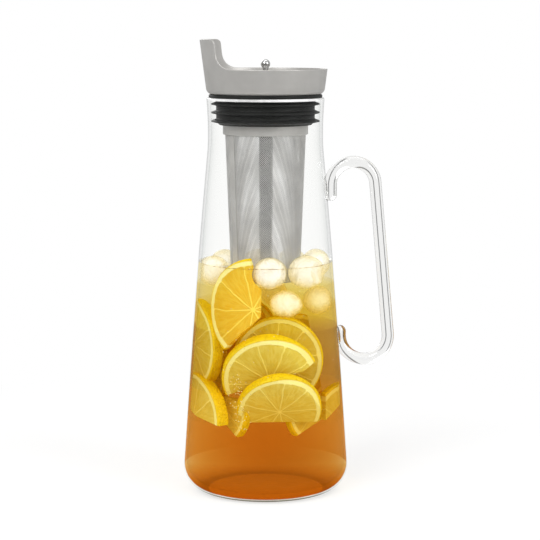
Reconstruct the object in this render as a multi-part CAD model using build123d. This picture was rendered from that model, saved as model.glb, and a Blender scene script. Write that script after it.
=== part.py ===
from build123d import *
import math
import os

# Iced tea maker: a glass carafe with a fused glass handle, and a steel pouring lid that carries
# a silicone stopper, a hinged flap and a push-fit steel strainer.
# Millimetres. The carafe stands on z = 0 with its axis on Z, the spout points to -X and the
# handle to +X.

# Carafe body, outer shape
carafe_height = 262.5
carafe_base_radius = 56.1  # where the wall line would meet the table, before the corner is rounded
carafe_corner_radius = 17.0
carafe_bulge = 0.87  # how far the long wall bows out from a straight cone
shoulder_below_rim = 36.5
shoulder_radius = 38.4
waist_below_rim = 26.0
waist_radius = 37.9
rim_radius = 38.9

# Carafe body, glass thickness
wall_thickness = 1.8
rim_thickness = 2.3
base_thickness = 5.0
rim_round = 0.4
punt_radius = 37.0
punt_depth = 1.2

# Handle: one bent glass rod with both ends melted on to the wall
rod_radius = 4.0
top_bend_radius = 14.75
top_bend_below_rim = 57.1
bottom_bend_radius = 15.95
bottom_bend_height = 104.6
top_sink = 1.15  # how deep the upper end lies in the wall's outline
bottom_sink = 3.1
top_end_length = 7.0
bottom_end_length = 2.7

# Lid: pressed steel cup whose wall runs up into the spout
sheet = 1.0
flange_thickness = 2.0  # silicone between the glass rim and the cup
cup_depth = 16.8
cup_base_radius = 38.6  # where the wall line would meet the floor, before the corner is rounded
cup_corner_radius = 4.5
cup_flare = 7.35  # degrees from upright
spout_height = 19.2  # above the rim of the cup
spout_back = 32.3  # from the axis to the back of the spout's level top
wing_foot = 30.1  # from the axis to where the spout's side would meet the cup's rim
wing_top_round = 3.0
wing_sweep_radius = 14.0
pour_hole_radius = 16.0
lip_length = 2.3
lip_turn_out = 1.6
lip_gauge = 0.7

# Core: the tube under the lid that holds the stopper outside and the strainer inside
fit_clearance = 0.1  # round parts that are pushed together
core_wall = 1.5
core_flange_radius = 33.0
core_flange_thickness = 1.5
core_length = 18.1
seat_ledge = 1.8  # step in the bore that the strainer's collar is pushed up against
collar_engagement = 11.7  # how far the collar goes up inside the core

# Stopper: one silicone moulding with three fins
flange_radius = 37.4
fin_clearance = 0.3
fin_count = 3
fin_spacing = 5.6
fin_depth = 3.3
fin_root = 2.6
fin_tip = 0.8
fin_droop = 0.3
lowest_fin_below_rim = 15.1
skirt_below_fin = 1.1
skirt_floor = 1.8
lip_clearance = 0.3

# Strainer
collar_radius = 28.1
collar_wall = 1.2
collar_height = 19.7
tube_gauge = 0.5
tube_length = 100.0
tube_in_collar = 5.0
tube_top_radius = 26.6  # outside, at the collar's lower edge
tube_taper = 2.24  # degrees from upright
strip_gauge = 0.4
strip_gap = 0.2  # from the strips' ends to the collar and the base cap
weld_clearance = 0.02
seam_angle = -144.5  # degrees from +X to the strip's middle
seam_width = 6.5  # round the tube, at its top
back_strip_angle = 92.0
back_strip_width = 9.5
cap_height = 5.0
cap_wall = 0.6
cap_plate = 1.0
cap_ring_width = 5.0
floor_gauge = 0.5

# Flap that closes the pour hole, with its hinge on the handle's side
flap_radius = 20.0
flap_gauge = 1.0
gasket_thickness = 1.2
gasket_outer_radius = 19.6
gasket_inner_radius = 16.6
hinge_reach = 24.0
hinge_rise = 3.4  # pin's centre above the lid's floor
pin_radius = 1.0
pin_clearance = 0.06
press_clearance = 0.02
knuckle_radius = 2.0
knuckle_length = 14.4
hinge_side_gap = 0.3
ear_thickness = 1.2
bracket_gauge = 0.8
bracket_inner = 21.0
bracket_outer = 27.5
pin_overhang = 0.4

# Knob on the flap
ball_radius = 3.1
ball_height = 18.9  # ball's centre above the lid's floor
stem_radius = 2.1
foot_radius = 4.2
foot_thickness = 1.0
stud_radius = 1.5
nut_across_flats = 5.5
nut_height = 2.4

# Worked out from the sizes above
shoulder_height = carafe_height - shoulder_below_rim
waist_height = carafe_height - waist_below_rim
top_bend_height = carafe_height - top_bend_below_rim
lid_bottom = carafe_height + flange_thickness
lid_floor = lid_bottom + sheet
cup_rim = lid_bottom + cup_depth
spout_top = cup_rim + spout_height
flare_slope = math.tan(math.radians(cup_flare))
bore_radius = waist_radius - wall_thickness
core_bore_radius = collar_radius + fit_clearance
core_radius = core_bore_radius + core_wall
core_bottom = lid_bottom - core_length
core_flange_bottom = lid_bottom - core_flange_thickness
fin_radius = bore_radius - fin_clearance
stopper_radius = fin_radius - fin_depth
stopper_bore_radius = core_radius + fit_clearance
lowest_fin = carafe_height - lowest_fin_below_rim
collar_top = core_bottom + collar_engagement
collar_bottom = collar_top - collar_height
tube_top = collar_bottom + tube_in_collar
tube_bottom = tube_top - tube_length
taper_slope = math.tan(math.radians(tube_taper))
flap_bottom = lid_floor + gasket_thickness
flap_top = flap_bottom + flap_gauge
hinge_height = lid_floor + hinge_rise


def wall_radius(height):
    # Outer radius of the long wall: a straight cone with its bow added
    share = height / shoulder_height
    cone = carafe_base_radius + (shoulder_radius - carafe_base_radius) * share
    return cone + 4 * carafe_bulge * share * (1 - share)


def tube_radius(height):
    return tube_top_radius - (collar_bottom - height) * taper_slope


def ring(inner, outer, low, high):
    # Plain ring about the Z axis, or a disc when the inner radius is 0
    body = Pos(0, 0, low) * extrude(Circle(outer), high - low)
    if inner > 0:
        body -= Pos(0, 0, low) * extrude(Circle(inner), high - low)
    return body


def turned(points):
    # Solid of revolution from (radius, height) corners
    face = make_face(Polyline([(r, 0, z) for r, z in points], close=True))
    return revolve(face, Axis.Z)


def carafe_fill(low, base_radius, corner, shoulder, waist, rim):
    # Everything inside one skin of the glass, from its floor up to the rim
    middle = shoulder_height / 2
    bow = wall_radius(middle) - carafe_base_radius
    wall = ThreePointArc(
        (base_radius, 0, low),
        (base_radius + bow, 0, middle),
        (shoulder, 0, shoulder_height),
    )
    blend = TangentArc(wall @ 1, (waist, 0, waist_height), tangent=wall % 1)
    lip = TangentArc(blend @ 1, (rim, 0, carafe_height), tangent=blend % 1)
    closing = Polyline(lip @ 1, (0, 0, carafe_height), (0, 0, low), (base_radius, 0, low))
    face = make_face([wall, blend, lip, closing])
    sharp = face.vertices().sort_by_distance((base_radius, 0, low))[0]
    return revolve(fillet(sharp, corner), Axis.Z)


def carafe_outside():
    return carafe_fill(
        0, carafe_base_radius, carafe_corner_radius, shoulder_radius, waist_radius, rim_radius
    )


def carafe_glass():
    inside = carafe_fill(
        base_thickness,
        carafe_base_radius - wall_thickness,
        carafe_corner_radius - wall_thickness,
        shoulder_radius - wall_thickness,
        bore_radius,
        rim_radius - rim_thickness,
    )
    glass = carafe_outside() - inside
    glass = fillet(glass.edges().group_by(Axis.Z)[-1], rim_round)
    # The punt is the cap of a large ball that reaches just into the base
    ball = (punt_radius**2 + punt_depth**2) / (2 * punt_depth)
    return glass - Pos(0, 0, punt_depth - ball) * Sphere(ball)


def carafe_handle():
    # Centres of the two bends, each set by how deep its end lies in the wall
    top_x = wall_radius(top_bend_height) + rod_radius - top_sink + top_bend_radius
    bottom_x = wall_radius(bottom_bend_height) + rod_radius - bottom_sink + bottom_bend_radius
    top = Vector(top_x, 0, top_bend_height)
    bottom = Vector(bottom_x, 0, bottom_bend_height)
    # The grip is the line that touches both bends on their outer side
    span = top - bottom
    tilt = math.atan2(-span.X, span.Z)
    tilt += math.asin((bottom_bend_radius - top_bend_radius) / span.length)
    outward = Vector(math.cos(tilt), 0, math.sin(tilt))
    grip_top = top + outward * top_bend_radius
    grip_bottom = bottom + outward * bottom_bend_radius
    top_side = top - Vector(top_bend_radius, 0, 0)
    bottom_side = bottom - Vector(bottom_bend_radius, 0, 0)
    top_end = top_side - Vector(0, 0, top_end_length)
    bottom_end = bottom_side + Vector(0, 0, bottom_end_length)
    path = Wire(
        [
            Line(top_end, top_side).edge(),
            ThreePointArc(top_side, top + Vector(0, 0, top_bend_radius), grip_top).edge(),
            Line(grip_top, grip_bottom).edge(),
            ThreePointArc(
                grip_bottom, bottom - Vector(0, 0, bottom_bend_radius), bottom_side
            ).edge(),
            Line(bottom_side, bottom_end).edge(),
        ]
    )
    rod = sweep(Plane(top_end, z_dir=(0, 0, 1)) * Circle(rod_radius), path=path)
    for end in (top_end, bottom_end):
        rod += Pos(end.X, end.Y, end.Z) * Sphere(rod_radius)
    return rod - carafe_outside()


def cup_fill(low, inset):
    # Everything inside one skin of the cup, up to the spout's tip
    foot = cup_base_radius - inset + (low - lid_bottom) * flare_slope
    top = foot + (spout_top - low) * flare_slope
    face = make_face(
        Polyline([(0, 0, low), (foot, 0, low), (top, 0, spout_top), (0, 0, spout_top)], close=True)
    )
    sharp = face.vertices().sort_by_distance((foot, 0, low))[0]
    return revolve(fillet(sharp, cup_corner_radius - inset), Axis.Z)


def lid_shell():
    cup = cup_fill(lid_bottom, 0) - cup_fill(lid_floor, sheet)
    # All that lies above the rim and behind the spout's swept sides is cut away
    reach = 2 * cup_base_radius
    line = FilletPolyline(
        (-reach, 0, spout_top),
        (-spout_back, 0, spout_top),
        (-wing_foot, 0, cup_rim),
        (reach, 0, cup_rim),
        radius=[wing_top_round, wing_sweep_radius],
    )
    over = Polyline(line @ 1, (reach, 0, spout_top + reach), (-reach, 0, spout_top + reach), line @ 0)
    cup -= extrude(make_face([line, over]), reach, both=True)
    # The pour hole's edge is drawn down and turned out under the core's flange
    lip_radius = pour_hole_radius + sheet
    lip_bottom = lid_bottom - lip_length
    cup -= ring(0, lip_radius, lid_bottom, lid_floor)
    cup += ring(pour_hole_radius, lip_radius, lip_bottom, lid_floor)
    cup += ring(pour_hole_radius, lip_radius + lip_turn_out, lip_bottom, lip_bottom + lip_gauge)
    return cup


def lid_core():
    tube = ring(core_bore_radius, core_radius, core_bottom, lid_bottom)
    flange = ring(
        pour_hole_radius + sheet + fit_clearance,
        core_flange_radius,
        core_flange_bottom,
        lid_bottom,
    )
    ledge = ring(core_bore_radius - seat_ledge, core_radius, collar_top, lid_bottom)
    return tube + flange + ledge


def stopper_seal():
    corners = [
        (core_flange_radius + fit_clearance, lid_bottom),
        (flange_radius, lid_bottom),
        (flange_radius, carafe_height),
        (stopper_radius, carafe_height),
    ]
    for i in reversed(range(fin_count)):
        height = lowest_fin + i * fin_spacing
        corners += [
            (stopper_radius, height + fin_root / 2),
            (fin_radius, height + fin_tip / 2 - fin_droop),
            (fin_radius, height - fin_tip / 2 - fin_droop),
            (stopper_radius, height - fin_root / 2),
        ]
    skirt = core_bottom - skirt_floor
    corners[-1] = (stopper_radius - skirt_below_fin, skirt + skirt_below_fin)
    lip_radius = collar_radius + lip_clearance
    corners += [
        (stopper_radius - 2 * skirt_below_fin, skirt),
        (lip_radius, skirt),
        (lip_radius, core_bottom),
        (stopper_bore_radius, core_bottom),
        (stopper_bore_radius, core_flange_bottom),
        (core_flange_radius + fit_clearance, core_flange_bottom),
    ]
    return turned(corners)


def strainer_collar():
    return ring(collar_radius - collar_wall, collar_radius, collar_bottom, collar_top)


def tapered_shell(low, high, offset, gauge):
    # Thin cone that follows the strainer's tube at a given distance outside it
    inner_low = tube_radius(low) + offset
    inner_high = tube_radius(high) + offset
    return make_face(
        Polyline(
            [
                (inner_low, 0, low),
                (inner_low + gauge, 0, low),
                (inner_high + gauge, 0, high),
                (inner_high, 0, high),
            ],
            close=True,
        )
    )


def strainer_tube():
    return revolve(tapered_shell(tube_bottom, tube_top, -tube_gauge, tube_gauge), Axis.Z)


def strainer_strip(angle, width):
    low = tube_bottom - floor_gauge + cap_height + strip_gap
    face = tapered_shell(low, collar_bottom - strip_gap, weld_clearance, strip_gauge)
    turn = math.degrees(width / tube_top_radius)
    return revolve(face, Axis.Z, revolution_arc=turn).rotate(Axis.Z, angle - turn / 2)


def strainer_base():
    plate_top = tube_bottom - floor_gauge
    rim_top = plate_top + cap_height
    inner = tube_radius(rim_top) + fit_clearance
    cap = ring(inner, inner + cap_wall, plate_top, rim_top)
    return cap + ring(inner - cap_ring_width, inner + cap_wall, plate_top - cap_plate, plate_top)


def strainer_floor():
    return ring(0, tube_radius(tube_bottom), tube_bottom - floor_gauge, tube_bottom)


def flap():
    plate = ring(0, flap_radius, flap_bottom, flap_top)
    # The tab starts within the plate and ends below the hinge's axis
    tab_start = flap_radius - knuckle_radius
    tab_length = hinge_reach - tab_start
    plate += Pos(tab_start + tab_length / 2, 0, flap_bottom + flap_gauge / 2) * Box(
        tab_length, knuckle_length, flap_gauge
    )
    turn = Pos(hinge_reach, 0, hinge_height) * Rot(90, 0, 0)
    plate += turn * Cylinder(knuckle_radius, knuckle_length)
    plate -= turn * Cylinder(pin_radius + pin_clearance, knuckle_length)
    return plate - ring(0, stud_radius + fit_clearance, flap_bottom, flap_top)


def flap_gasket():
    return ring(gasket_inner_radius, gasket_outer_radius, lid_floor, flap_bottom)


def hinge_bracket():
    ear_offset = knuckle_length / 2 + hinge_side_gap + ear_thickness / 2
    width = 2 * ear_offset + ear_thickness
    length = bracket_outer - bracket_inner
    plate = Pos((bracket_inner + bracket_outer) / 2, 0, lid_floor + bracket_gauge / 2) * Box(
        length, width, bracket_gauge
    )
    for side in (-1, 1):
        turn = Pos(hinge_reach, side * ear_offset, hinge_height) * Rot(90, 0, 0)
        ear = turn * Cylinder(knuckle_radius, ear_thickness)
        ear += Pos(hinge_reach, side * ear_offset, lid_floor + hinge_rise / 2) * Box(
            2 * knuckle_radius, ear_thickness, hinge_rise
        )
        plate += ear - turn * Cylinder(pin_radius + press_clearance, ear_thickness)
    return plate


def hinge_pin():
    length = knuckle_length + 2 * (hinge_side_gap + ear_thickness + pin_overhang)
    return Pos(hinge_reach, 0, hinge_height) * Rot(90, 0, 0) * Cylinder(pin_radius, length)


def knob():
    centre = lid_floor + ball_height
    body = ring(0, foot_radius, flap_top, flap_top + foot_thickness)
    body += ring(0, stem_radius, flap_top, centre)
    body += Pos(0, 0, centre) * Sphere(ball_radius)
    return body + ring(0, stud_radius, flap_bottom - nut_height, flap_top)


def knob_nut():
    hexagon = RegularPolygon(nut_across_flats / 2, 6, major_radius=False)
    nut = extrude(hexagon - Circle(stud_radius + fit_clearance / 2), nut_height)
    return Pos(0, 0, flap_bottom - nut_height) * nut


pieces = {
    "carafe_glass": carafe_glass(),
    "carafe_handle": carafe_handle(),
    "lid_shell": lid_shell(),
    "lid_core": lid_core(),
    "stopper_seal": stopper_seal(),
    "hinge_bracket": hinge_bracket(),
    "hinge_pin": hinge_pin(),
    "flap": flap(),
    "flap_gasket": flap_gasket(),
    "knob": knob(),
    "knob_nut": knob_nut(),
    "strainer_collar": strainer_collar(),
    "strainer_tube": strainer_tube(),
    "strainer_seam_strip": strainer_strip(seam_angle, seam_width),
    "strainer_back_strip": strainer_strip(back_strip_angle, back_strip_width),
    "strainer_base": strainer_base(),
    "strainer_floor": strainer_floor(),
}

os.makedirs("parts", exist_ok=True)
for name, piece in pieces.items():
    export_step(piece, f"parts/{name}.step")
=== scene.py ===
import math
import random

import bpy
from mathutils import Matrix, Vector


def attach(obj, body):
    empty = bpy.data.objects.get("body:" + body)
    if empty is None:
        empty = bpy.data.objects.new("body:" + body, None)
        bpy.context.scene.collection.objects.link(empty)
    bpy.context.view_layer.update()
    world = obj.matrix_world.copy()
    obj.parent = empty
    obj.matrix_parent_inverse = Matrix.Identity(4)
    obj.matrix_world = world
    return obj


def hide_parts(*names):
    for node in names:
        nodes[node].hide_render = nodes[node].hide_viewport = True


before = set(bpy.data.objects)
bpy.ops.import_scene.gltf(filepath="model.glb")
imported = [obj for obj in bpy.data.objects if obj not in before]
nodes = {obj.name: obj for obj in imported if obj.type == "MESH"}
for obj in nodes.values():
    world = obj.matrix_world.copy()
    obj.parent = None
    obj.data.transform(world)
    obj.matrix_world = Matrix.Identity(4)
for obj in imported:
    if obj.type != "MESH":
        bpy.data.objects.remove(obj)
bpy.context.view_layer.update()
mm = 0.001
print("frame loaded:", len(nodes), "nodes")


# Small helpers for meshes

def setMode(mode):
    bpy.ops.object.mode_set(mode=mode)


def deselectAll():
    if bpy.context.object and bpy.context.object.mode != "OBJECT":
        setMode("OBJECT")
    bpy.ops.object.select_all(action="DESELECT")


def pick(*pieces):
    deselectAll()
    for piece in pieces:
        piece.select_set(True)
    bpy.context.view_layer.objects.active = pieces[0]


def editMode(piece, kind="VERT"):
    pick(piece)
    setMode("EDIT")
    bpy.ops.mesh.select_mode(type=kind)
    bpy.ops.mesh.select_all(action="SELECT")


def editFaces(piece, wanted):
    # Edit mode with only the wanted faces selected
    editMode(piece, "FACE")
    bpy.ops.mesh.select_all(action="DESELECT")
    setMode("OBJECT")
    for face in piece.data.polygons:
        face.select = wanted(face)
    setMode("EDIT")


def newPiece(name, primitive, **settings):
    # A new primitive, alone in the selection
    deselectAll()
    primitive(**settings)
    return rename(bpy.context.object, name)


def rename(piece, name):
    piece.name = name
    piece.data.name = name
    return piece


def ownCopy(piece):
    double = piece.copy()
    double.data = piece.data.copy()
    bpy.context.scene.collection.objects.link(double)
    return double


def joined(pieces):
    pick(*pieces)
    if len(pieces) > 1:
        bpy.ops.object.join()
    return pieces[0]


def applyAll(piece):
    pick(piece)
    for modifier in list(piece.modifiers):
        bpy.ops.object.modifier_apply(modifier=modifier.name)
    bpy.ops.object.transform_apply(location=True, rotation=True, scale=True)


def polish(piece, angle=35):
    pick(piece)
    bpy.ops.object.shade_smooth_by_angle(angle=math.radians(angle))


def cut(piece, cutter, operation="DIFFERENCE"):
    tool = piece.modifiers.new("cut", "BOOLEAN")
    tool.operation = operation
    tool.object = cutter
    tool.solver = "EXACT"
    applyAll(piece)


def giveGauge(piece):
    # The thickness of the strainer's sheet, inwards or downwards
    thick = piece.modifiers.new("gauge", "SOLIDIFY")
    thick.thickness = strainer["gauge"] * mm
    thick.offset = -1
    applyAll(piece)


def hand(piece, material, body, slotName=None, *replaced):
    # Last step of every piece: its finish, its body and the nodes that it stands for
    piece.data.materials.clear()
    piece.data.materials.append(material)
    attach(piece, body)
    if replaced:
        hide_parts(*replaced)
    return piece


def storeFloats(piece, name, values, domain="POINT"):
    layer = piece.data.attributes.new(name, "FLOAT", domain)
    layer.data.foreach_set("value", values)


def softCorners(corners, closed=True, turn=15):
    # Corners are (across, up, radius) in mm, and each radius becomes a short arc. An arc takes up to half of
    # an edge that it shares with another one, and nearly all of an edge that ends in a sharp corner
    halfEdge, wholeEdge = 0.49, 0.97
    points = []
    count = len(corners)
    for i, (across, up, radius) in enumerate(corners):
        here = Vector((across, up))
        if radius <= 0 or (not closed and i in (0, count - 1)):
            points.append(here)
            continue
        last, following = corners[i - 1], corners[(i + 1) % count]
        back = Vector(last[:2]) - here
        ahead = Vector(following[:2]) - here
        inside = back.angle(ahead)
        room = min(
            back.length * (halfEdge if last[2] > 0 else wholeEdge),
            ahead.length * (halfEdge if following[2] > 0 else wholeEdge),
        )
        reach = min(radius / math.tan(inside / 2), room)
        radius = reach * math.tan(inside / 2)
        middle = (back.normalized() + ahead.normalized()).normalized()
        centre = here + middle * (radius / math.sin(inside / 2))
        spoke = here + back.normalized() * reach - centre
        side = 1 if back.cross(ahead) < 0 else -1
        sweep = math.pi - inside
        pieces = max(2, math.ceil(sweep / math.radians(turn)))
        for k in range(pieces + 1):
            points.append(centre + Matrix.Rotation(side * sweep * k / pieces, 2) @ spoke)
    return points


def tangentArc(start, heading, end, count):
    # Points after start on the arc that leaves it along heading and ends at end
    chord = end - start
    bend = -heading.angle_signed(chord)
    heading = heading.normalized()
    points = []
    for k in range(1, count + 1):
        share = k / count
        if abs(bend) > 1e-6:
            share = math.sin(bend * k / count) / math.sin(bend)
        points.append(start + Matrix.Rotation(bend * k / count, 2) @ heading * chord.length * share)
    return points


def turnPiece(name, corners, steps=160, closed=True, arcTurn=15):
    # A point is extruded round the section in the XZ plane, then the section is spun about the axis. A closed
    # section makes a ring, an open one runs from axis to axis
    points = softCorners(corners, closed, arcTurn)
    if closed:
        points.append(points[0])
    first = points[0] * mm
    piece = newPiece(name, bpy.ops.mesh.primitive_plane_add, size=mm, location=(first.x, 0, first.y))
    applyAll(piece)
    editMode(piece)
    bpy.ops.mesh.merge(type="CENTER")
    for here, there in zip(points, points[1:]):
        way = (there - here) * mm
        bpy.ops.mesh.extrude_vertices_move(TRANSFORM_OT_translate={"value": (way.x, 0, way.y)})
    bpy.ops.mesh.select_all(action="SELECT")
    bpy.ops.mesh.spin(steps=steps, angle=2 * math.pi, center=(0, 0, 0), axis=(0, 0, 1))
    bpy.ops.mesh.select_all(action="SELECT")
    bpy.ops.mesh.remove_doubles(threshold=0.004 * mm)
    bpy.ops.mesh.normals_make_consistent(inside=False)
    setMode("OBJECT")
    polish(piece)
    return piece


def softenNode(name, width, material, body, slotName):
    # A merged copy of a CAD node with its sharp edges eased
    piece = ownCopy(nodes[name])
    piece.parent = None
    piece.matrix_world = Matrix.Identity(4)
    for key in list(piece.keys()):
        del piece[key]
    rename(piece, name + "_eased")
    editMode(piece)
    bpy.ops.mesh.customdata_custom_splitnormals_clear()
    bpy.ops.mesh.remove_doubles(threshold=0.002 * mm)
    bpy.ops.mesh.dissolve_limited(angle_limit=math.radians(0.5))
    setMode("OBJECT")
    bevel = piece.modifiers.new("ease", "BEVEL")
    bevel.width = width * mm
    bevel.segments = 3
    bevel.limit_method = "ANGLE"
    bevel.angle_limit = math.radians(40)
    applyAll(piece)
    polish(piece)
    return hand(piece, material, body, slotName, name)


# Small helpers for materials. Every shader node goes into the tree that was started last

def startTree(owner):
    global tree
    owner.use_nodes = True
    tree = owner.node_tree
    tree.nodes.clear()
    return owner


def startMaterial(name):
    return startTree(bpy.data.materials.new(name))


def put(kind, sockets=None, **settings):
    node = tree.nodes.new("ShaderNode" + kind)
    for key, value in settings.items():
        setattr(node, key, value)
    for key, value in (sockets or {}).items():
        socket = node.inputs[key]
        if isinstance(value, bpy.types.NodeSocket):
            tree.links.new(value, socket)
        else:
            socket.default_value = (*value, 1) if socket.type == "RGBA" else value
    return node


def maths(operation, *values, clamp=False):
    return put("Math", dict(enumerate(values)), operation=operation, use_clamp=clamp).outputs[0]


def times(*values):
    return maths("MULTIPLY", *values)


def timesPlus(*values, clamp=False):
    return maths("MULTIPLY_ADD", *values, clamp=clamp)


def opposite(value):
    return maths("SUBTRACT", 1.0, value)


def either(one, other):
    return maths("MAXIMUM", one, other)


def lengthOf(one, other):
    return maths("SQRT", maths("ADD", times(one, one), times(other, other)))


def noise(place, scale, detail=3, rough=0.5, twist=0):
    sockets = {"Vector": place, "Scale": scale, "Detail": detail, "Roughness": rough, "Distortion": twist}
    return put("TexNoise", sockets).outputs["Fac"]


def cells(place, scale, smooth):
    sockets = {"Vector": place, "Scale": scale, "Smoothness": smooth}
    return put("TexVoronoi", sockets, feature="SMOOTH_F1").outputs["Distance"]


def stretch(place, scale):
    return put("Mapping", {"Vector": place, "Scale": scale}).outputs[0]


def spread(value, low, high, newLow, newHigh):
    sockets = {"Value": value, "From Min": low, "From Max": high, "To Min": newLow, "To Max": newHigh}
    return put("MapRange", sockets, clamp=True).outputs[0]


def step(value, low, high):
    sockets = {"Value": value, "From Min": low, "From Max": high}
    return put("MapRange", sockets, clamp=True, interpolation_type="SMOOTHSTEP").outputs[0]


def tint(share, first, second, blend="MIX"):
    return put("Mix", {0: share, 6: first, 7: second}, data_type="RGBA", blend_type=blend).outputs[2]


def relief(height, distance, strength):
    return put("Bump", {"Height": height, "Distance": distance, "Strength": strength}).outputs[0]


def dotted(place, axis):
    return put("VectorMath", {0: place, 1: axis}, operation="DOT_PRODUCT").outputs["Value"]


def partsOf(vector):
    return put("SeparateXYZ", {0: vector}).outputs


def stored(name):
    return put("Attribute", attribute_name=name).outputs["Fac"]


def objectPlace():
    return put("TexCoord").outputs["Object"]


def facingShare():
    return put("LayerWeight", {"Blend": 0.5}).outputs["Facing"]


def backShare():
    return put("NewGeometry").outputs["Backfacing"]


def rays(*kinds):
    outputs = put("LightPath").outputs
    return [outputs["Is %s Ray" % kind] for kind in kinds]


def mirrorShare(headOn):
    # How much a clear surface mirrors: little head on, nearly all at a glance
    return timesPlus(maths("POWER", facingShare(), 5.0), 1 - headOn, headOn)


def clear(colour):
    return put("BsdfTransparent", {"Color": colour}).outputs[0]


def glossy(rough, colour=(0.8, 0.8, 0.8), **sockets):
    return put("BsdfGlossy", {"Color": colour, "Roughness": rough, **sockets}).outputs[0]


def matt(colour, **sockets):
    return put("BsdfDiffuse", {"Color": colour, **sockets}).outputs[0]


def milky(share, colour, normal):
    # Lit from the front and, by this share, through from behind
    back = put("BsdfTranslucent", {"Color": colour, "Normal": normal}).outputs[0]
    return mixed(share, matt(colour, Normal=normal), back)


def glowing(colour, strength):
    return put("Emission", {"Color": colour, "Strength": strength}).outputs[0]


def added(one, other):
    return put("AddShader", {0: one, 1: other}).outputs[0]


def mixed(share, first, second):
    return put("MixShader", {0: share, 1: first, 2: second}).outputs[0]


def finish(shader, **sockets):
    put("OutputMaterial", {"Surface": shader, **sockets})


white = (1, 1, 1)


# Finishes

def streaked(place, colour):
    # Painted highlight: pale curved streaks, painted on the near half only, where the rows of holes in the
    # near wall and the far wall line up and let light through
    look = meshPaintedStreaks
    east, north, up = partsOf(place)
    lean = maths("DIVIDE", maths("ABSOLUTE", east), maths("ABSOLUTE", north))
    lean = maths("MINIMUM", lean, 4.0)
    level = timesPlus(lean, look["rise"] * mm, up)
    turns = times(level, 2 * math.pi / (look["period"] * mm))
    turns = timesPlus(noise(stretch(place, (1, 1, 0.25)), 90, 3, 0.6), look["drift"], turns)
    narrow = maths("SINE", times(turns, look["strands"]))
    band = timesPlus(narrow, look["narrow"], maths("SINE", turns))
    patch = noise(stretch(place, (1, 1, 0.25)), 320, 4, 0.65)
    band = times(step(band, -0.5, 1.5), spread(patch, 0.3, 0.55, 0.45, 1.0))
    start, end = look["seen"]
    beside = times(step(lean, start, start + 0.12), step(times(lean, -1.0), -end, 0.0))
    beside = times(beside, maths("LESS_THAN", north, 0.0))
    return tint(times(times(band, beside), look["share"]), colour, look["light"])


def twoSided(place, colour, smear, look):
    # The side that faces the middle of the tube has its own colour. Along the back strip it is painted nearly
    # black: painted shade inside the tube, where the strip keeps light out
    stripShade = look["stripShade"]
    bearing = math.radians(stripShade["bearing"])
    outward = put("VectorMath", {0: place, 1: (1, 1, 0)}, operation="MULTIPLY").outputs[0]
    facingOut = dotted(outward, put("NewGeometry").outputs["Normal"])
    aside = dotted(place, (math.sin(bearing), -math.cos(bearing), 0))
    onStrip = maths("LESS_THAN", maths("ABSOLUTE", aside), stripShade["half"] * mm)
    behind = maths("GREATER_THAN", partsOf(place)[1], 0.0)
    shadedStrip = tint(spread(smear, 0.3, 0.7, 0, 1), stripShade["dark"], stripShade["light"])
    inner = tint(times(onStrip, behind), look["inside"], shadedStrip)
    return tint(maths("LESS_THAN", facingOut, 0.0), colour, inner)


def steelFinish(name, look):
    material = startMaterial(name)
    place = objectPlace()
    cloud = noise(place, look["cloudScale"], 4, 0.6)
    smear = noise(stretch(place, (1, 1, 3)), 55, 5, 0.65, 0.8)
    grain = noise(stretch(place, look["grainStretch"]), look["grainScale"], 2, 0.7)
    colour = tint(spread(cloud, 0.3, 0.7, 0, 1), look["dark"], look["light"])
    if "stripShade" in look:
        colour = twoSided(place, streaked(place, colour), smear, look)
    rough, swing, rasp = look["rough"], look["roughSwing"], look["grainRough"]
    smeared = spread(smear, 0.25, 0.75, rough - swing, rough + swing)
    finish(put("BsdfPrincipled", {
        "Base Color": colour, "Metallic": look["metal"],
        "Roughness": maths("ADD", smeared, spread(grain, 0.2, 0.8, -rasp, rasp)),
        "Normal": relief(grain, look["grainDepth"] * mm, 0.6),
    }).outputs[0])
    return material


satinLook = {
    "metal": 0.45, "dark": (0.43, 0.42, 0.40), "light": (0.50, 0.49, 0.47), "rough": 0.42, "roughSwing": 0.05,
    "cloudScale": 40, "grainScale": 2600, "grainStretch": (1, 1, 1), "grainRough": 0.06, "grainDepth": 0.012,
}
brushedLook = {
    "metal": 0.4, "dark": (0.47, 0.46, 0.44), "light": (0.56, 0.55, 0.53), "rough": 0.38, "roughSwing": 0.05,
    "cloudScale": 60, "grainScale": 1500, "grainStretch": (1, 1, 14), "grainRough": 0.06, "grainDepth": 0.012,
}
brightLook = {
    "metal": 1.0, "dark": (0.60, 0.60, 0.60), "light": (0.68, 0.68, 0.67), "rough": 0.09, "roughSwing": 0.03,
    "cloudScale": 120, "grainScale": 3000, "grainStretch": (1, 1, 6), "grainRough": 0.02, "grainDepth": 0.002,
}
meshLook = {
    "metal": 0.4, "dark": (0.55, 0.545, 0.535), "light": (0.70, 0.695, 0.68), "rough": 0.38,
    "roughSwing": 0.06,
    "cloudScale": 90, "grainScale": 3000, "grainStretch": (1, 1, 1), "grainRough": 0.05, "grainDepth": 0.006,
    "inside": (0.70, 0.69, 0.67),
    # Painted shade: the inner side of the mesh along the back strip is painted nearly black
    "stripShade": {"bearing": 92.0, "half": 4.75, "dark": (0.04, 0.04, 0.038), "light": (0.14, 0.137, 0.132)},
}
# Painted highlight streaks on the near half of the mesh, up to brighter than white
meshPaintedStreaks = {
    "rise": 60.0, "period": 10.5, "strands": 2.6, "narrow": 0.6, "drift": 5.0, "seen": (0.14, 1.5),
    "share": 0.5, "light": (1.2, 1.19, 1.17),
}

satinSteel = steelFinish("satin steel", satinLook)
brushedSteel = steelFinish("brushed steel", brushedLook)
brightSteel = steelFinish("polished steel", brightLook)
meshSteel = steelFinish("etched mesh steel", meshLook)

siliconeLook = {
    "dark": (0.009, 0.010, 0.009), "light": (0.017, 0.018, 0.017), "dust": (0.06, 0.06, 0.058),
    "smooth": 0.42, "rough": 0.58, "grainDepth": 0.01,
}


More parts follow.
